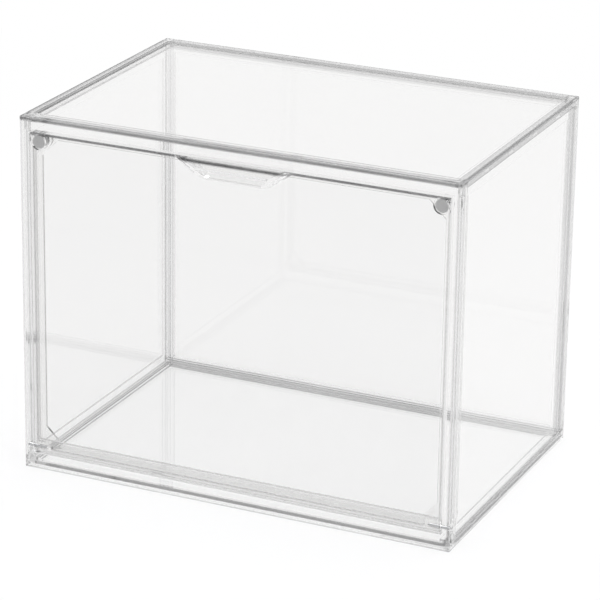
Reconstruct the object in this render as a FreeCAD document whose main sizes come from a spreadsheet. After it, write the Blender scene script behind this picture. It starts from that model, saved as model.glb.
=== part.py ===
import FreeCAD, Part
import math
import os
import Sketcher
from types import SimpleNamespace

# Clear stackable display box, snapped together from six moulded panels, with a drop-front door.
# The door turns on two pins in the front frame, and two pairs of disc magnets hold it shut.
# Millimetres. X runs to the right, Y to the back and Z up. The origin is on the floor, under the
# middle of the whole box, with the door's pull counted in the depth. The door is shut.

SIZES = {
    # The box
    "box_width": 310.0,
    "box_depth": 210.0,
    "box_height": 248.0,
    "edge_round": 0.6,
    # Panels and the slots that hold their edges
    "sheet_wall": 2.4,
    "edge_lip": 1.3,
    "inner_lip": 1.3,
    "slot_clearance": 0.1,
    "seat_gap": 0.2,
    "wall_border": 7.0,
    "wall_border_rise": 1.2,
    # Roof and base, with a bead along each side
    "bead_height": 5.2,
    "bead_slot": 3.0,
    "deck_border": 9.4,
    # Back panel
    "back_rim_depth": 6.7,
    "back_slot": 4.0,
    # Snaps between the walls and the beads
    "snap_count": 4,
    "snap_inset": 33.0,
    "snap_length": 8.0,
    "snap_height": 1.2,
    "snap_rise": 0.5,
    "snap_play": 0.15,
    # Front frame
    "stile_width": 6.6,
    "top_rail": 9.8,
    "bottom_rail": 11.2,
    "stop_wall": 1.6,
    "stop_reach": 6.0,
    "gusset_leg": 11.4,
    # Door
    "door_gap": 0.4,
    "door_sheet": 2.4,
    "door_rim_depth": 8.0,
    "door_rim_wall": 1.8,
    "door_corner": 1.6,
    # Hinge pins
    "pin_diameter": 3.0,
    "pin_fit": 0.02,
    "pin_play": 0.08,
    "pin_cover": 0.5,
    "pin_door_reach": 9.0,
    "pin_chamfer": 0.3,
    "knuckle_end": 3.0,
    # Magnets and the cups that hold them
    "magnet_diameter": 9.0,
    "magnet_thickness": 3.0,
    "magnet_chamfer": 0.3,
    "magnet_fit": 0.05,
    "magnet_floor": 0.8,
    "glue_film": 0.1,
    "cup_wall": 1.2,
    "cup_margin": 0.6,
    # Cup pull in the door's upper edge
    "pull_width": 84.0,
    "pull_drop": 13.4,
    "pull_flare": 18.0,
    "pull_rise": 1.6,
    "pull_projection": 5.6,
    "pull_nose": 5.8,
    "pull_recess": 5.0,
    "pull_wall": 1.2,
    "pull_floor": 4.2,
    "pull_corner": 16.0,
    "pull_round": 1.2,
}

FORWARD = -1
BACKWARD = 1
LEFT = -1
RIGHT = 1
TOLERANCE = 1e-4


class Length:
    """A size, as its value and as the expression that gives it from the sheet."""

    def __init__(self, value, text):
        self.value = value
        self.text = text

    def joined(self, sign, other, value):
        return Length(value, f"({self.text} {sign} {length(other).text})")

    def __add__(self, other):
        return self.joined("+", other, self.value + length(other).value)

    def __sub__(self, other):
        return self.joined("-", other, self.value - length(other).value)

    def __mul__(self, other):
        return self.joined("*", other, self.value * length(other).value)

    def __truediv__(self, other):
        return self.joined("/", other, self.value / length(other).value)

    def __neg__(self):
        return Length(-self.value, f"(-1 * {self.text})")


def length(value):
    """Return a plain number as a Length, and a Length as it is."""
    if isinstance(value, Length):
        return value
    return Length(value, str(value))


doc = FreeCAD.newDocument("display_box")
sheet = doc.addObject("Spreadsheet::Sheet", "sizes")
for row, (alias, number) in enumerate(SIZES.items(), start=1):
    sheet.set(f"A{row}", alias)
    sheet.set(f"B{row}", str(number))
    sheet.setAlias(f"B{row}", alias)
doc.recompute()
size = SimpleNamespace(**{alias: Length(number, f"sizes.{alias}") for alias, number in SIZES.items()})

# Places that several pieces share

floor = length(0)
half_width = size.box_width / 2
front = (size.pull_projection - size.box_depth) / 2
back = (size.pull_projection + size.box_depth) / 2

slot_width = size.sheet_wall + size.slot_clearance * 2
slot_inner = size.edge_lip + slot_width
bead_width = slot_inner + size.inner_lip
sheet_outer = size.edge_lip + size.slot_clearance
sheet_inner = sheet_outer + size.sheet_wall

frame_depth = size.door_rim_depth + size.door_gap + size.stop_wall
frame_rear = front + frame_depth
stop_front = frame_rear - size.stop_wall
rim_front = back - size.back_rim_depth

hinge_radius = size.door_rim_depth / 2
axis_y = front + hinge_radius
axis_z = size.bottom_rail + size.door_gap + hinge_radius
frame_slot = frame_depth - hinge_radius - size.pin_diameter / 2 - size.pin_cover

panel_front = frame_rear - frame_slot + size.seat_gap
panel_back = rim_front + size.back_slot - size.seat_gap
bead_front = frame_rear + size.seat_gap
bead_back = rim_front - size.seat_gap

opening_half = half_width - size.stile_width
opening_top = size.box_height - size.top_rail
door_half = opening_half - size.door_gap
door_top = opening_top - size.door_gap

cup_bore = size.magnet_diameter + size.magnet_fit * 2
cup_diameter = cup_bore + size.cup_wall * 2
magnet_inset = cup_diameter / 2 + size.cup_margin
magnet_x = door_half - magnet_inset
magnet_z = door_top - magnet_inset
magnet_seat = size.glue_film + size.magnet_thickness
frame_magnet_y = stop_front + size.magnet_floor + size.glue_film
door_magnet_y = front + size.door_sheet + size.glue_film

pin_outer = half_width - sheet_outer
pin_inner = door_half - size.pin_door_reach


# Modelling helpers

def new_body(label):
    """Start one piece of the box."""
    body = doc.addObject("PartDesign::Body", label)
    body.Label = label
    return body


def origin_feature(body, role):
    """Return one of the body's own origin planes or axes."""
    return next(feature for feature in body.Origin.OriginFeatures if feature.Role == role)


def sketch_on(body, name, role, level):
    """Start a sketch on an origin plane moved along its axis of the box to the given level."""
    sketch = body.newObject("Sketcher::SketchObject", f"{body.Name}_{name}")
    sketch.AttachmentSupport = [(origin_feature(body, role), "")]
    sketch.MapMode = "FlatFace"
    offset = -level if role == "XZ_Plane" else level
    sketch.setExpression("AttachmentOffset.Base.z", offset.text)
    return sketch


def constrain(sketch, target, *reference):
    """Add a constraint whose value follows the sheet."""
    index = sketch.addConstraint(Sketcher.Constraint(*reference, target.value))
    sketch.setExpression(f"Constraints[{index}]", target.text)


def place_point(sketch, geometry, vertex, across, up):
    """Hold one point of the sketch at its two coordinates."""
    constrain(sketch, across, "DistanceX", -1, 1, geometry, vertex)
    constrain(sketch, up, "DistanceY", -1, 1, geometry, vertex)


def draw_outline(sketch, corners):
    """Draw a closed outline through corners given as pairs of lengths."""
    points = [FreeCAD.Vector(across.value, up.value, 0) for across, up in corners]
    first = sketch.GeometryCount
    for start, end in zip(points, points[1:] + points[:1]):
        sketch.addGeometry(Part.LineSegment(start, end))
    for index, (across, up) in enumerate(corners):
        following = (index + 1) % len(corners)
        sketch.addConstraint(Sketcher.Constraint("Coincident", first + index, 2, first + following, 1))
        place_point(sketch, first + index, 1, across, up)


def draw_rectangle(sketch, left, low, right, high):
    """Draw an upright rectangle between two corners."""
    draw_outline(sketch, [(left, low), (right, low), (right, high), (left, high)])


def draw_inset_rectangle(sketch, inset):
    """Draw the box's front outline, drawn in by the same inset on all four sides."""
    edge = half_width - inset
    draw_rectangle(sketch, -edge, floor + inset, edge, size.box_height - inset)


def draw_circle(sketch, across, up, diameter):
    """Draw a circle about a centre."""
    centre = FreeCAD.Vector(across.value, up.value, 0)
    index = sketch.addGeometry(Part.Circle(centre, FreeCAD.Vector(0, 0, 1), diameter.value / 2))
    place_point(sketch, index, 3, across, up)
    constrain(sketch, diameter, "Diameter", index)


def hypotenuse(across, up):
    """Return the length of a slanted line from how far it runs across and up."""
    return Length(math.hypot(across.value, up.value), f"sqrt({across.text} ^ 2 + {up.text} ^ 2)")


def draw_cup(sketch, top_half, low_half, low, top, radius):
    """Draw a cup's outline, flat below and flared, with rounded corners; return half its flat."""
    run = top_half - low_half
    rise = top - low
    slant = hypotenuse(run, rise)
    flat = low_half - radius * (slant - run) / rise
    side_end = flat + radius * rise / slant
    turn = math.atan2(rise.value, run.value)
    down = -math.pi / 2
    arcs = []
    for side, angles, ends in ((RIGHT, (down, down + turn), (flat, side_end)),
                               (LEFT, (down - turn, down), (side_end, flat))):
        centre = FreeCAD.Vector(flat.value * side, low.value + radius.value, 0)
        circle = Part.Circle(centre, FreeCAD.Vector(0, 0, 1), radius.value)
        arc = sketch.addGeometry(Part.ArcOfCircle(circle, *angles))
        place_point(sketch, arc, 3, flat * side, low + radius)
        constrain(sketch, radius, "Radius", arc)
        for vertex, across in enumerate(ends, start=1):
            constrain(sketch, across * side, "DistanceX", -1, 1, arc, vertex)
        arcs.append(arc)
    right_arc, left_arc = arcs
    draw_link(sketch, (right_arc, 2), [(top_half, top), (-top_half, top)], (left_arc, 1))
    draw_link(sketch, (left_arc, 2), [], (right_arc, 1))
    return flat


def faces_backward(sketch):
    """Say whether the sketch's normal runs against the axis that it is stacked along."""
    return sketch.AttachmentSupport[0][0].Role == "XZ_Plane"


def add_feature(body, kind, name, grows, settings, lengths):
    """Add a feature to the body and make sure that it adds or removes material as it should."""
    before = body.Shape.Volume if body.Tip else 0.0
    feature = body.newObject(f"PartDesign::{kind}", name)
    for key, value in settings.items():
        setattr(feature, key, value)
    for key, value in lengths.items():
        feature.setExpression(key, value.text)
    body.Tip = feature
    doc.recompute()
    change = body.Shape.Volume - before
    if (change > 0) != grows or abs(change) < TOLERANCE:
        raise RuntimeError(f"{name} did not change {body.Label} as it should")
    return feature


def pad(body, sketch, depth, direction):
    """Thicken a sketch along its axis of the box: direction is 1 or -1."""
    settings = {"Profile": sketch, "Reversed": (direction > 0) == faces_backward(sketch)}
    return add_feature(body, "Pad", f"{sketch.Name}_pad", True, settings, {"Length": depth})


def pocket(body, sketch, depth, direction):
    """Cut a sketch into the body along its axis of the box: direction is 1 or -1."""
    settings = {"Profile": sketch, "Reversed": (direction > 0) != faces_backward(sketch)}
    return add_feature(body, "Pocket", f"{sketch.Name}_pocket", False, settings, {"Length": depth})


def loft(body, kind, first, later, grows):
    """Join sketches by straight lines, in order, as material or as a hollow."""
    settings = {"Profile": first, "Sections": later, "Ruled": True}
    return add_feature(body, kind, f"{first.Name}_loft", grows, settings, {})


def mirror(body, features, grows):
    """Repeat features on the other side of the box."""
    settings = {"Originals": features, "MirrorPlane": (origin_feature(body, "YZ_Plane"), [""])}
    return add_feature(body, "Mirrored", f"{features[0].Name}_mirrored", grows, settings, {})


def repeat_snaps(body, original, grows):
    """Repeat a snap at even steps along the depth of the box."""
    settings = {"Originals": [original], "Direction": (origin_feature(body, "Y_Axis"), [""])}
    span = rim_front - frame_rear - size.snap_inset * 2
    lengths = {"Length": span, "Occurrences": size.snap_count}
    return add_feature(body, "LinearPattern", f"{original.Name}_row", grows, settings, lengths)


def dress_edges(body, kind, name, amount, chosen):
    """Round or chamfer the edges of the body that pass the test."""
    base = body.Tip
    numbered = enumerate(base.Shape.Edges, start=1)
    edges = [f"Edge{index}" for index, edge in numbered if chosen(edge)]
    amounts = {"Radius" if kind == "Fillet" else "Size": amount}
    return add_feature(body, kind, f"{body.Name}_{name}", False, {"Base": (base, edges)}, amounts)


def all_at(edge, coordinate, value):
    """Say whether every end of an edge has the given coordinate."""
    return all(abs(getattr(vertex, coordinate) - value.value) < TOLERANCE for vertex in edge.Vertexes)


def on_outer_side(edge):
    """Say whether an edge lies along a side, the top or the bottom of the whole box."""
    sides = [("X", -half_width), ("X", half_width), ("Z", floor), ("Z", size.box_height)]
    return sum(all_at(edge, coordinate, value) for coordinate, value in sides)


def round_ring_edges(body, face):
    """Round the outer corners of a ring and the outer edge of its face to the outside."""
    def outside(edge):
        return on_outer_side(edge) == 2 or (on_outer_side(edge) == 1 and all_at(edge, "Y", face))
    return dress_edges(body, "Fillet", "edge_round", size.edge_round, outside)


# Front frame: a ring with a slot in its rear face for the panels, and a stop flange for the door

def make_front_frame():
    body = new_body("front_frame")
    ring = sketch_on(body, "ring", "XZ_Plane", front)
    draw_inset_rectangle(ring, floor)
    draw_rectangle(ring, -opening_half, size.bottom_rail, opening_half, opening_top)
    pad(body, ring, frame_depth, BACKWARD)
    round_ring_edges(body, front)

    slot = sketch_on(body, "slot", "XZ_Plane", frame_rear)
    draw_inset_rectangle(slot, size.edge_lip)
    draw_inset_rectangle(slot, slot_inner)
    pocket(body, slot, frame_slot, FORWARD)

    stop = sketch_on(body, "stop", "XZ_Plane", stop_front)
    draw_rectangle(stop, -opening_half, size.bottom_rail, opening_half, opening_top)
    side = opening_half - size.stop_reach
    low = size.bottom_rail + size.stop_reach
    high = opening_top - size.stop_reach
    leg = size.gusset_leg
    draw_outline(stop, [
        (leg - side, low), (side - leg, low), (side, low + leg), (side, high - leg),
        (side - leg, high), (leg - side, high), (-side, high - leg), (-side, low + leg),
    ])
    pad(body, stop, size.stop_wall, BACKWARD)

    cup = sketch_on(body, "magnet_cup", "XZ_Plane", stop_front)
    draw_circle(cup, magnet_x, magnet_z, cup_diameter)
    cup_pad = pad(body, cup, size.magnet_floor + magnet_seat, BACKWARD)
    bore = sketch_on(body, "magnet_bore", "XZ_Plane", frame_magnet_y + size.magnet_thickness)
    draw_circle(bore, magnet_x, magnet_z, cup_bore)
    cup_pocket = pocket(body, bore, magnet_seat, FORWARD)
    mirror(body, [cup_pad, cup_pocket], grows=True)

    pin_hole = sketch_on(body, "pin_hole", "YZ_Plane", opening_half)
    draw_circle(pin_hole, axis_y, axis_z, size.pin_diameter + size.pin_fit * 2)
    pin_pocket = pocket(body, pin_hole, size.stile_width - size.edge_lip, RIGHT)
    mirror(body, [pin_pocket], grows=False)
    return body


# Back panel: a sheet set in a slotted rim, with a step round its outer face

def make_back_panel():
    body = new_body("back_panel")
    sheet_face = back - size.edge_lip
    rim = sketch_on(body, "rim", "XZ_Plane", back)
    draw_inset_rectangle(rim, floor)
    draw_inset_rectangle(rim, bead_width)
    pad(body, rim, size.back_rim_depth, FORWARD)
    round_ring_edges(body, back)

    border = sketch_on(body, "border", "XZ_Plane", sheet_face)
    draw_inset_rectangle(border, bead_width)
    draw_inset_rectangle(border, size.deck_border)
    pad(body, border, size.back_rim_depth - size.edge_lip, FORWARD)

    panel = sketch_on(body, "sheet", "XZ_Plane", sheet_face)
    draw_inset_rectangle(panel, size.deck_border)
    pad(body, panel, size.sheet_wall, FORWARD)

    slot = sketch_on(body, "slot", "XZ_Plane", rim_front)
    draw_inset_rectangle(slot, size.edge_lip)
    draw_inset_rectangle(slot, slot_inner)
    pocket(body, slot, size.back_slot, BACKWARD)
    return body


# Side walls: a sheet whose four edges sit in slots, a stiffening border inside, and snap ridges

def make_wall(label, side):
    body = new_body(label)
    outer = half_width - sheet_outer
    inner = half_width - sheet_inner
    edge_low = size.bead_height - size.bead_slot + size.seat_gap

    panel = sketch_on(body, "sheet", "YZ_Plane", outer * side)
    draw_rectangle(panel, panel_front, edge_low, panel_back, size.box_height - edge_low)
    pad(body, panel, size.sheet_wall, -side)

    border = sketch_on(body, "border", "YZ_Plane", inner * side)
    border_low = size.bead_height + size.seat_gap
    for inset in (floor, size.wall_border):
        draw_rectangle(border, bead_front + inset, border_low + inset,
                       bead_back - inset, size.box_height - border_low - inset)
    pad(body, border, size.wall_border_rise, -side)

    ridge = sketch_on(body, "snap", "XZ_Plane", frame_rear + size.snap_inset - size.snap_length / 2)
    tip = (outer + size.snap_rise) * side
    low, high = snap_levels(floor)
    draw_outline(ridge, [(outer * side, low), (tip, high), (outer * side, high)])
    top_low, top_high = size.box_height - high, size.box_height - low
    draw_outline(ridge, [(outer * side, top_high), (tip, top_low), (outer * side, top_low)])
    repeat_snaps(body, pad(body, ridge, size.snap_length, BACKWARD), grows=True)
    return body


def snap_levels(play):
    """Return how high above the box's outer face a snap starts and ends."""
    middle = size.bead_height - size.bead_slot / 2
    reach = size.snap_height / 2 + play
    return middle - reach, middle + reach


# Roof and base: one section with a slotted bead along each side, and tongues at both ends

def make_deck(label, upside_down):
    body = new_body(label)

    def level(distance):
        return size.box_height - distance if upside_down else floor + distance

    slot_bottom = size.bead_height - size.bead_slot
    bead = [
        (bead_width, sheet_outer), (bead_width, floor), (floor, floor), (floor, size.bead_height),
        (size.edge_lip, size.bead_height), (size.edge_lip, slot_bottom),
        (slot_inner, slot_bottom), (slot_inner, size.bead_height),
        (size.deck_border, size.bead_height), (size.deck_border, sheet_inner),
    ]
    section = sketch_on(body, "section", "XZ_Plane", bead_front)
    right_side = [(half_width - inset, level(distance)) for inset, distance in bead]
    left_side = [(-across, up) for across, up in reversed(right_side)]
    draw_outline(section, right_side + left_side)
    pad(body, section, bead_back - bead_front, BACKWARD)

    def outer_corner(edge):
        return on_outer_side(edge) == 2
    dress_edges(body, "Fillet", "edge_round", size.edge_round, outer_corner)

    tongue = sketch_on(body, "tongue", "XZ_Plane", panel_front)
    reach = half_width - bead_width - size.seat_gap
    tongue_low, tongue_high = sorted((level(sheet_outer), level(sheet_inner)), key=lambda z: z.value)
    draw_rectangle(tongue, -reach, tongue_low, reach, tongue_high)
    pad(body, tongue, panel_back - panel_front, BACKWARD)

    low, high = snap_levels(size.snap_play)
    start = frame_rear + size.snap_inset - size.snap_length / 2 - size.snap_play
    end = start + size.snap_length + size.snap_play * 2
    groove_low, groove_high = sorted((level(low), level(high)), key=lambda z: z.value)
    groove_depth = size.snap_rise - size.slot_clearance + size.snap_play
    for name, side in (("left_groove", LEFT), ("right_groove", RIGHT)):
        groove = sketch_on(body, name, "YZ_Plane", (half_width - size.edge_lip) * side)
        draw_rectangle(groove, start, groove_low, end, groove_high)
        repeat_snaps(body, pocket(body, groove, groove_depth, side), grows=False)
    return body


# Door: a sheet with a deep rim, a rolled lower edge with a knuckle at each end, and a cup pull

def make_door():
    body = new_body("door_panel")
    panel = sketch_on(body, "sheet", "XZ_Plane", front)
    draw_rectangle(panel, -door_half, axis_z, door_half, door_top)
    pad(body, panel, size.door_sheet, BACKWARD)

    rim = sketch_on(body, "rim", "XZ_Plane", front)
    rim_half = door_half - size.door_rim_wall
    rim_top = door_top - size.door_rim_wall
    draw_outline(rim, [
        (-door_half, axis_z), (-door_half, door_top), (door_half, door_top), (door_half, axis_z),
        (rim_half, axis_z), (rim_half, rim_top), (-rim_half, rim_top), (-rim_half, axis_z),
    ])
    pad(body, rim, size.door_rim_depth, BACKWARD)

    def upper_corner(edge):
        return on_door_side(edge) and all_at(edge, "Z", door_top)
    dress_edges(body, "Fillet", "corner", size.door_corner, upper_corner)

    add_rolled_edge(body)
    add_knuckles(body)
    add_door_cups(body)
    add_pull(body)
    return body


def on_door_side(edge):
    """Say whether an edge lies on the left or right side of the door."""
    return all_at(edge, "X", door_half) or all_at(edge, "X", -door_half)


def add_rolled_edge(body):
    """Roll the door's lower edge back about the hinge line, and end it in a short upright lip."""
    roll = sketch_on(body, "roll", "YZ_Plane", -door_half)
    outer_arc = draw_lower_half(roll, hinge_radius)
    inner_arc = draw_lower_half(roll, hinge_radius - size.door_sheet)
    lip_back = axis_y + hinge_radius
    lip_front = lip_back - size.door_sheet
    lip_top = axis_z + hinge_radius
    draw_link(roll, (outer_arc, 2), [(lip_back, lip_top), (lip_front, lip_top)], (inner_arc, 2))
    draw_link(roll, (inner_arc, 1), [], (outer_arc, 1))
    pad(body, roll, door_half * 2, RIGHT)


def draw_lower_half(sketch, radius):
    """Draw the lower half of a circle about the hinge line, from front to back."""
    centre = FreeCAD.Vector(axis_y.value, axis_z.value, 0)
    circle = Part.Circle(centre, FreeCAD.Vector(0, 0, 1), radius.value)
    arc = sketch.addGeometry(Part.ArcOfCircle(circle, math.pi, 2 * math.pi))
    place_point(sketch, arc, 3, axis_y, axis_z)
    constrain(sketch, radius, "Radius", arc)
    for end in (1, 2):
        sketch.addConstraint(Sketcher.Constraint("Horizontal", arc, 3, arc, end))
    return arc


def draw_link(sketch, start, corners, finish):
    """Join two ends of the sketch by straight lines through corners given as pairs of lengths."""
    points = [sketch.getPoint(*start)]
    points += [FreeCAD.Vector(across.value, up.value, 0) for across, up in corners]
    points.append(sketch.getPoint(*finish))
    previous = start
    for index, (begin, end) in enumerate(zip(points, points[1:])):
        line = sketch.addGeometry(Part.LineSegment(begin, end))
        sketch.addConstraint(Sketcher.Constraint("Coincident", *previous, line, 1))
        if index < len(corners):
            place_point(sketch, line, 2, *corners[index])
        previous = (line, 2)
    sketch.addConstraint(Sketcher.Constraint("Coincident", *previous, *finish))


def add_knuckles(body):
    """Fill the roll at both ends of the door and bore it for the pins."""
    knuckle = sketch_on(body, "knuckle", "YZ_Plane", door_half)
    draw_circle(knuckle, axis_y, axis_z, hinge_radius * 2)
    knuckle_pad = pad(body, knuckle, size.pin_door_reach + size.knuckle_end, LEFT)
    bore = sketch_on(body, "pin_bore", "YZ_Plane", door_half)
    draw_circle(bore, axis_y, axis_z, size.pin_diameter + size.pin_play * 2)
    bore_pocket = pocket(body, bore, size.pin_door_reach + size.seat_gap, LEFT)
    mirror(body, [knuckle_pad, bore_pocket], grows=True)


def add_door_cups(body):
    """Add the cups for the magnets to the inner face of the door's upper corners."""
    cup = sketch_on(body, "magnet_cup", "XZ_Plane", front)
    draw_circle(cup, magnet_x, magnet_z, cup_diameter)
    cup_pad = pad(body, cup, size.door_sheet + magnet_seat, BACKWARD)
    bore = sketch_on(body, "magnet_bore", "XZ_Plane", door_magnet_y + size.magnet_thickness)
    draw_circle(bore, magnet_x, magnet_z, cup_bore)
    cup_pocket = pocket(body, bore, magnet_seat, FORWARD)
    mirror(body, [cup_pad, cup_pocket], grows=True)


def add_pull(body):
    """Add the cup pull: a flared block through the door with a hollow that opens upwards."""
    half = size.pull_width / 2
    low_half = half - size.pull_flare
    low = door_top - size.pull_drop

    def cup(name, level, edges, radius):
        sketch = sketch_on(body, name, "XZ_Plane", level)
        return sketch, draw_cup(sketch, *edges, radius)

    block_edges = (half, low_half, low, door_top)
    block, bed_half = cup("pull_block", front, block_edges, size.pull_corner)
    pad(body, block, size.pull_recess + size.pull_wall, BACKWARD)

    slope = size.pull_flare / size.pull_drop
    nose_y = front - size.pull_projection
    nose_low = door_top - size.pull_nose
    nose_top = door_top + size.pull_rise
    nose_half = half - size.pull_projection / 2
    nose_low_half = nose_half - slope * (size.pull_nose + size.pull_rise)
    nose_edges = (nose_half, nose_low_half, nose_low, nose_top)
    nose, throat_half = cup("pull_nose", nose_y, nose_edges, size.pull_corner / 2)
    loft(body, "AdditiveLoft", block, [nose], grows=True)

    def nose_edge(edge):
        return all_at(edge, "Y", nose_y) and not all_at(edge, "Z", nose_top)
    dress_edges(body, "Fillet", "pull_round", size.pull_round, nose_edge)

    hollow_back = front + size.pull_recess
    mouth_front = nose_y + size.pull_wall

    def hollow_section(name, level, half_width, front_side):
        sketch = sketch_on(body, name, "XY_Plane", level)
        draw_rectangle(sketch, -half_width, front_side, half_width, hollow_back)
        return sketch

    mouth = hollow_section("pull_mouth", nose_top, nose_half - size.pull_wall, mouth_front)
    throat = hollow_section("pull_throat", nose_low + size.pull_wall, throat_half, mouth_front)
    bed = hollow_section("pull_bed", low + size.pull_wall, bed_half, hollow_back - size.pull_floor)
    loft(body, "SubtractiveLoft", mouth, [throat, bed], grows=False)


# Hinge pins and disc magnets, made in place of their own and then set in the box

def make_round(label, role, diameter, depth, chamfer, place):
    """Make a chamfered disc or pin that runs along one axis from its own origin."""
    body = new_body(label)
    disc = sketch_on(body, "disc", role, floor)
    draw_circle(disc, floor, floor, diameter)
    pad(body, disc, depth, 1)
    dress_edges(body, "Chamfer", "ends", chamfer, lambda edge: len(edge.Vertexes) == 1)
    for coordinate, value in zip("xyz", place):
        body.setExpression(f"Placement.Base.{coordinate}", value.text)
    return body


def make_pins_and_magnets():
    bodies = []
    pin_length = pin_outer - pin_inner
    for label, start in (("hinge_pin_left", -pin_outer), ("hinge_pin_right", pin_inner)):
        place = (start, axis_y, axis_z)
        bodies.append(make_round(label, "YZ_Plane", size.pin_diameter, pin_length,
                                 size.pin_chamfer, place))
    for holder, level in (("frame", frame_magnet_y), ("door", door_magnet_y)):
        for side_name, side in (("left", LEFT), ("right", RIGHT)):
            place = (magnet_x * side, level, magnet_z)
            bodies.append(make_round(f"{holder}_magnet_{side_name}", "XZ_Plane", size.magnet_diameter,
                                     size.magnet_thickness, size.magnet_chamfer, place))
    return bodies


pieces = [
    make_front_frame(),
    make_back_panel(),
    make_wall("left_wall", LEFT),
    make_wall("right_wall", RIGHT),
    make_deck("roof_panel", upside_down=True),
    make_deck("base_panel", upside_down=False),
    make_door(),
]
pieces += make_pins_and_magnets()
doc.recompute()

for item in doc.Objects:
    if "Invalid" in item.State or "Error" in item.State:
        raise RuntimeError(f"{item.Label} failed: {item.State}")
for piece in pieces:
    shape = piece.Shape
    if shape.isNull() or not shape.isValid() or len(shape.Solids) != 1:
        raise RuntimeError(f"{piece.Label} is not one sound solid")

os.makedirs("parts", exist_ok=True)
for piece in pieces:
    piece.Shape.exportStep(f"parts/{piece.Label}.step")
    print(piece.Label, round(piece.Shape.Volume / 1000, 2), "cm3")
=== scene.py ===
"""Looks of a clear stacking box with a drop-front door: finishes, floor, studio light and camera.

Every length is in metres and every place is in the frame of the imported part: +X to the right, +Y to the back,
+Z up, with the floor at zero.
"""
import logging
import math
from dataclasses import dataclass, field
from enum import Enum
from typing import Any, Mapping, Sequence, Union

import bpy
import numpy as np
from mathutils import Matrix, Vector


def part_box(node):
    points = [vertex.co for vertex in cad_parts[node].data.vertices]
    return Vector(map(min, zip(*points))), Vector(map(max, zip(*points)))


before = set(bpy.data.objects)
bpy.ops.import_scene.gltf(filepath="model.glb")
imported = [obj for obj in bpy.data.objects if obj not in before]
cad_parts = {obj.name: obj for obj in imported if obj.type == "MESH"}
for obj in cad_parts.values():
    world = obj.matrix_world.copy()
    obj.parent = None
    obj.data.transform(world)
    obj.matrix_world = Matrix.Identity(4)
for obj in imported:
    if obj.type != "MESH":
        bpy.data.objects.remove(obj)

log = logging.getLogger("display_box")
Colour = tuple[float, float, float]
Span = tuple[float, float]
WHITE: Colour = (1.0, 1.0, 1.0)


class Side(Enum):
    """The two mirror halves of the box, by their word in the names of its pieces."""

    LEFT = "left"
    RIGHT = "right"


class Ray(Enum):
    """The kinds of ray that see the studio as a white surround, by the name of their Light Path output."""

    CAMERA = "Is Camera Ray"
    GLOSSY = "Is Glossy Ray"
    THROUGH = "Is Transmission Ray"


class Edge(Enum):
    """Which of the box's twelve edges a distance or a line goes by."""

    ANY = "any"
    TOP = "top"
    FOOT = "foot"
    UPRIGHT = "upright"


class Signal:
    """One output socket of a shader. Arithmetic on it adds Math nodes to the same tree."""

    def __init__(self, sheet: "ShaderSheet", socket: bpy.types.NodeSocket) -> None:
        """Keep the socket and the sheet that it is drawn on."""
        self.sheet = sheet
        self.socket = socket

    def math(self, operation: str, *others: "Value", clamp: bool = False) -> "Signal":
        """Add one Math node.

        Args:
            operation: The node's operation.
            others: The second and third operands, where the operation has them.
            clamp: Whether the result is held between 0 and 1.

        Returns:
            The node's result.
        """
        settings = {"operation": operation, "use_clamp": clamp}
        return self.sheet.node("ShaderNodeMath", settings, dict(enumerate((self, *others))))

    def __add__(self, other: "Value") -> "Signal":
        """Sum."""
        return self.math("ADD", other)

    def __radd__(self, other: float) -> "Signal":
        """Sum with a number on the left."""
        return self.math("ADD", other)

    def __sub__(self, other: "Value") -> "Signal":
        """Difference."""
        return self.math("SUBTRACT", other)

    def __rsub__(self, other: float) -> "Signal":
        """Difference from a number on the left."""
        return self.sheet.number(other).math("SUBTRACT", self)

    def __mul__(self, other: "Value") -> "Signal":
        """Product."""
        return self.math("MULTIPLY", other)

    def __rmul__(self, other: float) -> "Signal":
        """Product with a number on the left."""
        return self.math("MULTIPLY", other)

    def __pow__(self, other: "Value") -> "Signal":
        """Power."""
        return self.math("POWER", other)

    def __rpow__(self, other: float) -> "Signal":
        """Power of a number on the left."""
        return self.sheet.number(other).math("POWER", self)

    def __abs__(self) -> "Signal":
        """Size without its sign."""
        return self.math("ABSOLUTE")

    def least(self, other: "Value") -> "Signal":
        """The smaller of two values."""
        return self.math("MINIMUM", other)

    def most(self, other: "Value") -> "Signal":
        """The larger of two values."""
        return self.math("MAXIMUM", other)

    def ease(self, start: float, end: float) -> "Signal":
        """Go smoothly from 0 to 1, along a curve that is level at both ends.

        Args:
            start: The value that gives 0.
            end: The value that gives 1, which may be the smaller of the two.

        Returns:
            The share of the way from start to end.
        """
        low, high = sorted((start, end))
        settings = {"interpolation_type": "SMOOTHSTEP", "clamp": True}
        limits = (0.0, 1.0) if start < end else (1.0, 0.0)
        sockets = {"Value": self, "From Min": low, "From Max": high, "To Min": limits[0], "To Max": limits[1]}
        return self.sheet.node("ShaderNodeMapRange", settings, sockets)


Value = Union[Signal, float]


@dataclass(frozen=True)
class Clouds:
    """Soft noise: its waves to the metre, its count of finer layers, and how strong those are."""

    scale: float
    detail: float
    rough: float = 0.5


@dataclass(frozen=True)
class Relief:
    """A fine bump: how strongly it turns the surface, and how high it stands."""

    strength: float
    height: float


@dataclass(frozen=True)
class Fading:
    """How light fades: the surfaces met where that starts and where it ends, and the share left then."""

    start: float
    end: float
    left: float


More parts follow.
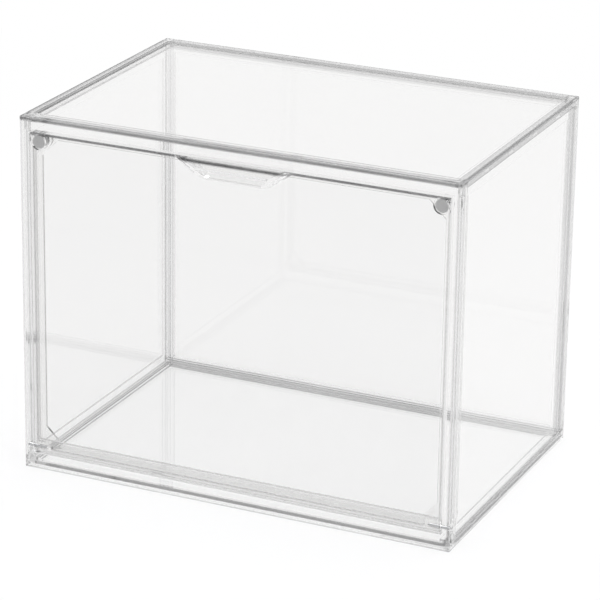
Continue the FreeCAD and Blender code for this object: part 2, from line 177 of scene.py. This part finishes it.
class ShaderSheet:
    """The node tree of one finish, emptied first, with one method that adds any node."""

    MIX_SHARE, MIX_FIRST, MIX_SECOND, MIX_COLOUR = 0, 6, 7, 2

    def __init__(self, tree: bpy.types.NodeTree) -> None:
        """Start from an empty tree."""
        self.tree = tree
        tree.nodes.clear()

    def node(self, kind: str, settings: Mapping[str, Any] | None = None,
             sockets: Mapping[Any, Any] | None = None, output: Any = 0) -> Signal:
        """Add a node.

        Args:
            kind: The node's type.
            settings: Its properties, set before its sockets.
            sockets: Values, or signals to link, by input name or number.
            output: The output wanted, by name or number.

        Returns:
            That output as a signal.
        """
        made = self.tree.nodes.new(kind)
        for name, value in (settings or {}).items():
            setattr(made, name, value)
        for name, value in (sockets or {}).items():
            if isinstance(value, Signal):
                self.tree.links.new(value.socket, made.inputs[name])
            else:
                made.inputs[name].default_value = value
        return Signal(self, made.outputs[output] if len(made.outputs) else None)

    def number(self, value: float) -> Signal:
        """Make a plain number a signal, for the left side of a difference or a power.

        Args:
            value: The number.

        Returns:
            The signal.
        """
        signal = self.node("ShaderNodeValue")
        signal.socket.default_value = value
        return signal

    def place(self) -> Signal:
        """The point on the surface, in the piece's own frame."""
        return self.node("ShaderNodeTexCoord", output="Object")

    def parts_of(self, point: Signal) -> tuple[Signal, Signal, Signal]:
        """Take a point apart.

        Args:
            point: The point.

        Returns:
            Its three coordinates.
        """
        split = self.node("ShaderNodeSeparateXYZ", sockets={"Vector": point})
        outputs = split.socket.node.outputs
        return Signal(self, outputs["X"]), Signal(self, outputs["Y"]), Signal(self, outputs["Z"])

    def clouds(self, point: Signal, noise: Clouds) -> Signal:
        """Soft noise between 0 and 1."""
        sockets = {"Vector": point, "Scale": noise.scale, "Detail": noise.detail, "Roughness": noise.rough}
        return self.node("ShaderNodeTexNoise", sockets=sockets, output="Fac")

    def bump(self, relief: Relief, height: Signal) -> Signal:
        """The normal of a surface with a fine bump, whose height goes from 0 to 1."""
        sockets = {"Strength": relief.strength, "Distance": relief.height, "Height": height}
        return self.node("ShaderNodeBump", sockets=sockets)

    def blend(self, share: Value, first: Signal | Colour, second: Signal | Colour) -> Signal:
        """Mix two colours.

        Args:
            share: How far to go from the first to the second, from 0 to 1.
            first: The colour at 0.
            second: The colour at 1.

        Returns:
            The mixed colour.
        """
        colours = [value if isinstance(value, Signal) else (*value, 1.0) for value in (first, second)]
        sockets = {self.MIX_SHARE: share, self.MIX_FIRST: colours[0], self.MIX_SECOND: colours[1]}
        return self.node("ShaderNodeMix", {"data_type": "RGBA"}, sockets, self.MIX_COLOUR)

    def clear_way(self, share: Colour) -> Signal:
        """A surface that lets light straight through, with the share that is left of each colour."""
        return self.node("ShaderNodeBsdfTransparent", sockets={"Color": (*share, 1.0)})

    def choose(self, share: Signal, first: Signal, second: Signal) -> Signal:
        """Mix two surfaces, going from the first to the second as share goes from 0 to 1."""
        return self.node("ShaderNodeMixShader", sockets={0: share, 1: first, 2: second})

    def light_path(self, output: str) -> Signal:
        """What is known of the ray that meets the surface."""
        return self.node("ShaderNodeLightPath", output=output)

    def faded_white(self, fading: Fading) -> Signal:
        """The tone of white light that fades with every surface on a ray's way."""
        surfaces = self.light_path("Ray Depth")
        return 1 - surfaces.ease(fading.start, fading.end) * (1 - fading.left)

    def seen_by(self, *kinds: Ray) -> Signal:
        """Tell some kinds of ray from the rest.

        Args:
            kinds: The kinds of ray, one or more.

        Returns:
            1 for rays of any of these kinds, and 0 for the rest.
        """
        total = self.light_path(kinds[0].value)
        for kind in kinds[1:]:
            total = total.most(self.light_path(kind.value))
        return total

    def close(self, surface: Signal) -> None:
        """Put the surface out as the finish."""
        self.node("ShaderNodeOutputMaterial", sockets={"Surface": surface})


def start_finish(name: str) -> tuple[bpy.types.Material, ShaderSheet]:
    """Start a finish.

    Args:
        name: The material's name.

    Returns:
        The material and its empty sheet.
    """
    material = bpy.data.materials.new(name)
    material.use_nodes = True
    return material, ShaderSheet(material.node_tree)


@dataclass(frozen=True)
class BoxSize:
    """The outer size of the closed box without its pull, and the planes of its front and its back."""

    width: float = 0.310
    height: float = 0.248
    front: float = -0.1022
    back: float = 0.1078

    def edge_depths(self, sheet: ShaderSheet, point: Signal) -> dict[Edge, Signal]:
        """How far a point is from the nearest of the box's edges.

        The distances to the nearest side, front or back, and top or bottom are found. On an edge two of the
        three are nothing, so the middle one of the three in order of size is the distance to the nearest edge
        of all, and the larger of two is the distance to an edge of one kind.

        Args:
            sheet: The finish being drawn.
            point: The point on the surface.

        Returns:
            The distance in metres, for each kind of edge.
        """
        x, y, z = sheet.parts_of(point)
        side = self.width / 2 - abs(x)
        depth = (y - self.front).least(self.back - y)
        fall = self.height - z
        low = side.least(depth)
        high = side.most(depth)
        return {Edge.ANY: low.most(high.least(z.least(fall))), Edge.TOP: low.most(fall),
                Edge.FOOT: low.most(z), Edge.UPRIGHT: high}


@dataclass(frozen=True)
class Seam:
    """A painted dark line along the box's edges: painted shade where a sheet ends or sits in its slot and light
    turns back.
    """

    edge: Edge
    distance: float
    width: float
    share: float


@dataclass(frozen=True)
class ClearPlastic:
    """Clear moulded plastic: polished, with painted shade darkening it towards the box's edges, painted dark
    lines along its seams, and a faint ripple from its mould.

    Light that has turned back inside it more often than most_turns is let out, with trapped_share of it left.
    """

    name: str
    seams: tuple[Seam, ...] = ()
    body_tint: Colour = (0.962, 0.960, 0.957)
    # Painted shade: the darker colour the plastic is given near the box's edges, where clear edges look dark
    # from light turning back inside.
    edge_shade_tint: Colour = (0.915, 0.914, 0.914)
    edge_shade_reach: float = 0.014
    edge_shade_weight: float = 0.85
    flow: Clouds = Clouds(9.0, 3.0)
    flow_weight: float = 0.15
    # Painted shade: the near-black colour of the seam lines.
    seam_shade_tint: Colour = (0.05, 0.05, 0.053)
    seam_least: float = 0.7
    seam_flow: float = 0.5
    index: float = 1.49
    polish: float = 0.004
    smear: float = 0.020
    smudges: Clouds = Clouds(21.0, 4.0, 0.6)
    smudge_span: Span = (0.52, 0.78)
    waves: Clouds = Clouds(34.0, 1.0)
    ripple: Relief = Relief(1.0, 0.00004)
    lamp_share: Colour = (0.965, 0.968, 0.970)
    trapped_share: Colour = (0.87, 0.87, 0.87)
    most_turns: float = 2.5

    def make(self, box: BoxSize) -> bpy.types.Material:
        """Draw the finish.

        Args:
            box: The box towards whose edges the shade is painted.

        Returns:
            The material.
        """
        material, sheet = start_finish(self.name)
        point = sheet.place()
        smudges = sheet.clouds(point, self.smudges).ease(*self.smudge_span)
        clear = sheet.node("ShaderNodeBsdfPrincipled", sockets={
            "Base Color": self.tint(sheet, point, box), "Roughness": smudges * self.smear + self.polish,
            "IOR": self.index, "Transmission Weight": 1.0,
            "Normal": sheet.bump(self.ripple, sheet.clouds(point, self.waves))})
        turned = sheet.light_path("Glossy Depth").math("GREATER_THAN", self.most_turns)
        freed = sheet.choose(turned, clear, sheet.clear_way(self.trapped_share))
        lamp_ray = sheet.light_path("Is Shadow Ray")
        sheet.close(sheet.choose(lamp_ray, freed, sheet.clear_way(self.lamp_share)))
        return material

    def tint(self, sheet: ShaderSheet, point: Signal, box: BoxSize) -> Signal:
        """Work out the colour: the body's, going over to a painted shade near the edges, with painted dark seam
        lines drawn on it in turn.

        Args:
            sheet: The finish being drawn.
            point: The point on the surface.
            box: The box towards whose edges the shade is painted.

        Returns:
            The colour.
        """
        depths = box.edge_depths(sheet, point)
        # Painted shade: the colour darkens towards the box's nearest edge.
        edge_shade_mask = depths[Edge.ANY].ease(self.edge_shade_reach, 0.0)
        flow = sheet.clouds(point, self.flow)
        share = (edge_shade_mask * self.edge_shade_weight).math("ADD", flow * self.flow_weight, clamp=True)
        tint = sheet.blend(share, self.body_tint, self.edge_shade_tint)
        if not self.seams:
            return tint
        unevenness = self.seam_least + flow * self.seam_flow
        # Painted shade: a dark line at each seam's distance from its kind of edge.
        for seam in self.seams:
            line = abs(depths[seam.edge] - seam.distance).ease(seam.width, 0.0)
            tint = sheet.blend(line * unevenness * seam.share, tint, self.seam_shade_tint)
        return tint


@dataclass(frozen=True)
class NickelPlate:
    """Nickel plate on a disc magnet: satin, with faint turned rings and a brighter worn rim."""

    name: str
    plain: Colour = (0.45, 0.45, 0.453)
    bright: Colour = (0.60, 0.60, 0.60)
    roughness: float = 0.34
    rim_span: Span = (0.80, 0.98)
    rim_weight: float = 0.6
    rim_polish: float = 0.08
    mottle: Clouds = Clouds(420.0, 3.0)
    mottle_weight: float = 0.4
    mottle_dulling: float = 0.12
    ring_pitch: float = 0.0007
    ring_weight: float = 0.5
    relief: Relief = Relief(0.35, 0.00002)

    def make(self, centre: Vector, radius: float) -> bpy.types.Material:
        """Draw the finish about the axis of one disc, which runs along Y.

        Args:
            centre: The middle of the disc.
            radius: The disc's radius.

        Returns:
            The material.
        """
        material, sheet = start_finish(self.name)
        point = sheet.node("ShaderNodeMapping", {"vector_type": "POINT"},
                           {"Vector": sheet.place(), "Location": tuple(-centre)})
        x, _, z = sheet.parts_of(point)
        reach = (x * x + z * z) ** 0.5
        rim = reach.ease(*(share * radius for share in self.rim_span))
        rings = (reach * (math.tau / self.ring_pitch)).math("SINE")
        mottle = sheet.clouds(point, self.mottle)
        share = (rim * self.rim_weight).math("ADD", mottle * self.mottle_weight, clamp=True)
        metal = sheet.node("ShaderNodeBsdfPrincipled", sockets={
            "Base Color": sheet.blend(share, self.plain, self.bright), "Metallic": 1.0,
            "Roughness": self.roughness - rim * self.rim_polish + mottle * self.mottle_dulling,
            "Normal": sheet.bump(self.relief, rings * self.ring_weight + mottle)})
        sheet.close(metal)
        return material


@dataclass(frozen=True)
class GroundSteel:
    """Ground steel of a hinge pin: fine marks round the pin, a little duller in patches."""

    name: str
    plain: Colour = (0.50, 0.51, 0.52)
    bright: Colour = (0.68, 0.68, 0.69)
    roughness: float = 0.28
    stretch: tuple[float, float, float] = (1.0, 0.02, 0.02)
    marks: Clouds = Clouds(5200.0, 2.0)
    mark_weight: float = 0.6
    patches: Clouds = Clouds(260.0, 3.0)
    patch_weight: float = 0.4
    patch_dulling: float = 0.18
    relief: Relief = Relief(0.3, 0.00001)

    def make(self) -> bpy.types.Material:
        """Draw the finish, with marks that change along X and hardly across it.

        Returns:
            The material.
        """
        material, sheet = start_finish(self.name)
        point = sheet.place()
        along = sheet.node("ShaderNodeMapping", {"vector_type": "POINT"},
                           {"Vector": point, "Scale": self.stretch})
        marks = sheet.clouds(along, self.marks)
        dull = sheet.clouds(point, self.patches)
        share = marks * self.mark_weight + dull * self.patch_weight
        metal = sheet.node("ShaderNodeBsdfPrincipled", sockets={
            "Base Color": sheet.blend(share, self.plain, self.bright), "Metallic": 1.0,
            "Roughness": self.roughness + dull * self.patch_dulling,
            "Normal": sheet.bump(self.relief, marks)})
        sheet.close(metal)
        return material


def dress(node: str, material: bpy.types.Material) -> bpy.types.Object:
    """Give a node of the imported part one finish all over.

    Args:
        node: The node's name.
        material: The finish.

    Returns:
        The node's object.
    """
    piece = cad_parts[node]
    piece.data.materials.clear()
    piece.data.materials.append(material)
    log.info("dressed %s in %s", node, material.name)
    return piece


@dataclass
class Case:
    """The fixed shell of clear plastic: front frame, back, two walls, roof and a base painted slightly paler
    than the rest, as painted light that brightens it.
    """

    box: BoxSize
    # Lines of painted shade on each panel, by edge, distance, width and share.
    frame_seams: tuple[Seam, ...] = (
        Seam(Edge.TOP, 0.0014, 0.0022, 0.97), Seam(Edge.FOOT, 0.0043, 0.0010, 0.26),
        Seam(Edge.FOOT, 0.0005, 0.0013, 0.65), Seam(Edge.UPRIGHT, 0.0014, 0.0009, 0.40))
    back_seams: tuple[Seam, ...] = (
        Seam(Edge.TOP, 0.0010, 0.0015, 0.85), Seam(Edge.TOP, 0.0069, 0.0009, 0.45),
        Seam(Edge.FOOT, 0.0070, 0.0010, 0.90), Seam(Edge.FOOT, 0.0030, 0.0011, 0.80),
        Seam(Edge.UPRIGHT, 0.0070, 0.0009, 0.60), Seam(Edge.UPRIGHT, 0.0008, 0.0012, 0.60))
    roof_seams: tuple[Seam, ...] = (
        Seam(Edge.TOP, 0.0008, 0.0022, 0.97), Seam(Edge.TOP, 0.0054, 0.0011, 0.80))
    base_seams: tuple[Seam, ...] = (
        Seam(Edge.FOOT, 0.0057, 0.0012, 0.95), Seam(Edge.FOOT, 0.0030, 0.0011, 0.70),
        Seam(Edge.FOOT, 0.0006, 0.0010, 0.40))
    # Painted light: the base's plastic is given a paler tint than the other panels to brighten it.
    lightened_base_tint: Colour = (0.998, 0.998, 0.996)

    def build(self) -> None:
        """Dress every panel."""
        for panel, seams in (("front_frame", self.frame_seams), ("back_panel", self.back_seams),
                             ("roof_panel", self.roof_seams)):
            dress(panel, ClearPlastic(f"{panel}_plastic", seams).make(self.box))
        base_plastic = ClearPlastic("base_panel_plastic", self.base_seams, self.lightened_base_tint).make(self.box)
        dress("base_panel", base_plastic)
        wall_plastic = ClearPlastic("wall_plastic").make(self.box)
        for side in Side:
            dress(f"{side.value}_wall", wall_plastic)


@dataclass
class Door:
    """The drop-front door, of the same plastic as the case and a little deeper in tone."""

    box: BoxSize
    panel: str = "door_panel"
    tint: Colour = (0.924, 0.923, 0.921)
    # Lines of painted shade on the door, by edge, distance, width and share.
    seams: tuple[Seam, ...] = (
        Seam(Edge.TOP, 0.0104, 0.0022, 0.97), Seam(Edge.UPRIGHT, 0.0074, 0.0009, 0.45),
        Seam(Edge.FOOT, 0.0122, 0.0009, 0.50))

    def build(self) -> None:
        """Dress the door."""
        dress(self.panel, ClearPlastic(f"{self.panel}_plastic", self.seams, self.tint).make(self.box))


@dataclass
class Hardware:
    """The two hinge pins and the four disc magnets."""

    holders: Sequence[str] = ("frame", "door")

    def build(self) -> None:
        """Dress the pins and then the magnets, each about its own axis."""
        steel = GroundSteel("ground_pin_steel").make()
        for side in Side:
            dress(f"hinge_pin_{side.value}", steel)
            for holder in self.holders:
                node = f"{holder}_magnet_{side.value}"
                low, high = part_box(node)
                radius = (high.x - low.x) / 2
                dress(node, NickelPlate(f"{node}_nickel").make((low + high) / 2, radius))


@dataclass(frozen=True)
class Lamp:
    """A square soft lamp: its place, its breadth and its power in watts."""

    name: str
    place: tuple[float, float, float]
    breadth: float
    power: float


@dataclass
class Studio:
    """The white floor, the soft lamps, the white surround and the camera."""

    floor_radius: float = 9.0
    floor_rings: int = 24
    floor_spokes: int = 96
    floor_colour: Colour = (0.90, 0.90, 0.905)
    shade_share: float = 0.25
    shade_inner: float = 0.35
    shade_outer: float = 1.10
    lamps: tuple[Lamp, ...] = (
        Lamp("lamp_overhead", (0.2, 0.1, 2.6), 2.4, 44.0),
        Lamp("lamp_left", (-2.4, -1.2, 1.5), 1.4, 14.0),
        Lamp("lamp_right", (2.6, -1.6, 1.7), 1.4, 12.0))
    lamp_aim: Vector = field(default_factory=lambda: Vector((0.0, 0.0, 0.1)))
    fading: Fading = Fading(8.0, 14.0, 0.40)
    ambient_tone: Colour = (0.55, 0.55, 0.56)
    overhead_tone: Colour = (0.56, 0.56, 0.57)
    overhead_rise: Span = (0.22, 0.75)
    turned_rise: Span = (0.04, 0.30)
    turned_after: Span = (4.5, 10.0)
    camera_azimuth: float = 24.44
    camera_elevation: float = 20.49
    camera_roll: float = 0.88
    camera_distance: float = 2.1
    camera_lens: float = 187.0
    camera_sensor: float = 36.0
    camera_aim: Vector = field(default_factory=lambda: Vector((0.001, 0.0, 0.1123)))

    def build(self) -> None:
        """Set up the floor, the lamps, the surround and the camera."""
        self.lay_floor()
        self.hang_lamps()
        self.paint_surround()
        self.set_camera()
        bpy.context.scene.view_settings.view_transform = "Standard"

    def lay_floor(self) -> None:
        """Lay the floor: a disc of rings and spokes, with rings that widen as the square of their number."""
        ring = np.linspace(0.0, 1.0, self.floor_rings + 1)[1:] ** 2 * self.floor_radius
        turn = np.arange(self.floor_spokes) * (math.tau / self.floor_spokes)
        reach, angle = np.meshgrid(ring, turn, indexing="ij")
        points = np.stack((reach * np.cos(angle), reach * np.sin(angle), np.zeros_like(reach)), axis=-1)
        row, spoke = np.meshgrid(np.arange(self.floor_rings - 1), np.arange(self.floor_spokes), indexing="ij")
        near = row * self.floor_spokes + spoke
        near_next = row * self.floor_spokes + (spoke + 1) % self.floor_spokes
        quads = np.stack((near, near + self.floor_spokes, near_next + self.floor_spokes, near_next), axis=-1)
        faces = [tuple(range(self.floor_spokes))] + quads.reshape(-1, 4).tolist()
        mesh = bpy.data.meshes.new("studio_floor")
        mesh.from_pydata(points.reshape(-1, 3).tolist(), [], faces)
        mesh.update()
        floor = bpy.data.objects.new("studio_floor", mesh)
        bpy.context.scene.collection.objects.link(floor)
        mesh.materials.append(self.floor_finish())
        log.info("laid the floor")

    def floor_finish(self) -> bpy.types.Material:
        """Draw the floor: a pale matt surface that keeps the shadow, and fades into plain white further off.

        Returns:
            The material.
        """
        material, sheet = start_finish("pale_floor")
        x, y, _ = sheet.parts_of(sheet.place())
        reach = (x * x + y * y) ** 0.5
        shade = reach.ease(self.shade_outer, self.shade_inner) * self.shade_share
        matt = sheet.node("ShaderNodeBsdfDiffuse", sockets={"Color": (*self.floor_colour, 1.0)})
        white = sheet.node("ShaderNodeEmission", sockets={
            "Color": sheet.faded_white(self.fading), "Strength": 1.0})
        seen = sheet.seen_by(Ray.CAMERA, Ray.GLOSSY, Ray.THROUGH)
        sheet.close(sheet.choose(seen * (1 - shade), matt, white))
        return material

    def hang_lamps(self) -> None:
        """Hang one broad lamp overhead and a weaker one at each side."""
        for lamp in self.lamps:
            light = bpy.data.lights.new(lamp.name, "AREA")
            light.shape = "SQUARE"
            light.size = lamp.breadth
            light.energy = lamp.power
            hung = bpy.data.objects.new(lamp.name, light)
            hung.location = lamp.place
            aim = self.lamp_aim - Vector(lamp.place)
            hung.rotation_euler = aim.to_track_quat("-Z", "Y").to_euler()
            bpy.context.scene.collection.objects.link(hung)
            log.info("hung %s", lamp.name)

    def paint_surround(self) -> None:
        """Paint the surround: white at the horizon and darker overhead, so that clear edges catch dark lines.

        For light that has met many surfaces the darker tone starts lower down.
        """
        world = bpy.data.worlds.new("studio_surround")
        bpy.context.scene.world = world
        world.use_nodes = True
        sheet = ShaderSheet(world.node_tree)
        direction = sheet.node("ShaderNodeTexCoord", output="Generated")
        _, _, rise = sheet.parts_of(direction)
        surfaces = sheet.light_path("Ray Depth")
        turned_up = rise.ease(*self.turned_rise) * surfaces.ease(*self.turned_after)
        overhead = rise.ease(*self.overhead_rise).most(turned_up)
        tone = sheet.blend(overhead, sheet.faded_white(self.fading), self.overhead_tone)
        camera = sheet.seen_by(Ray.CAMERA)
        seen = sheet.seen_by(Ray.GLOSSY, Ray.THROUGH)
        shown = sheet.blend(camera, tone, WHITE)
        ambient = sheet.blend(seen.most(camera), self.ambient_tone, shown)
        light = sheet.node("ShaderNodeBackground", sockets={"Color": ambient, "Strength": 1.0})
        sheet.node("ShaderNodeOutputWorld", sockets={"Surface": light})

    def set_camera(self) -> None:
        """Set the camera at the photograph's angle, with its slight roll and a long lens."""
        azimuth, elevation = math.radians(self.camera_azimuth), math.radians(self.camera_elevation)
        back = Vector((math.sin(azimuth) * math.cos(elevation), -math.cos(azimuth) * math.cos(elevation),
                       math.sin(elevation)))
        data = bpy.data.cameras.new("studio_camera")
        data.sensor_width = self.camera_sensor
        data.lens = self.camera_lens
        camera = bpy.data.objects.new("studio_camera", data)
        turn = (-back).to_track_quat("-Z", "Y").to_matrix().to_4x4()
        roll = Matrix.Rotation(math.radians(self.camera_roll), 4, "Z")
        camera.matrix_world = Matrix.Translation(self.camera_aim + back * self.camera_distance) @ turn @ roll
        bpy.context.scene.collection.objects.link(camera)
        bpy.context.scene.camera = camera
        log.info("set the camera")


def main() -> None:
    """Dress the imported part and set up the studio."""
    logging.basicConfig(level=logging.INFO, format="%(name)s: %(message)s")
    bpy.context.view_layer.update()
    box = BoxSize()
    Case(box).build()
    Door(box).build()
    Hardware().build()
    Studio().build()


if __name__ == "__main__":
    main()
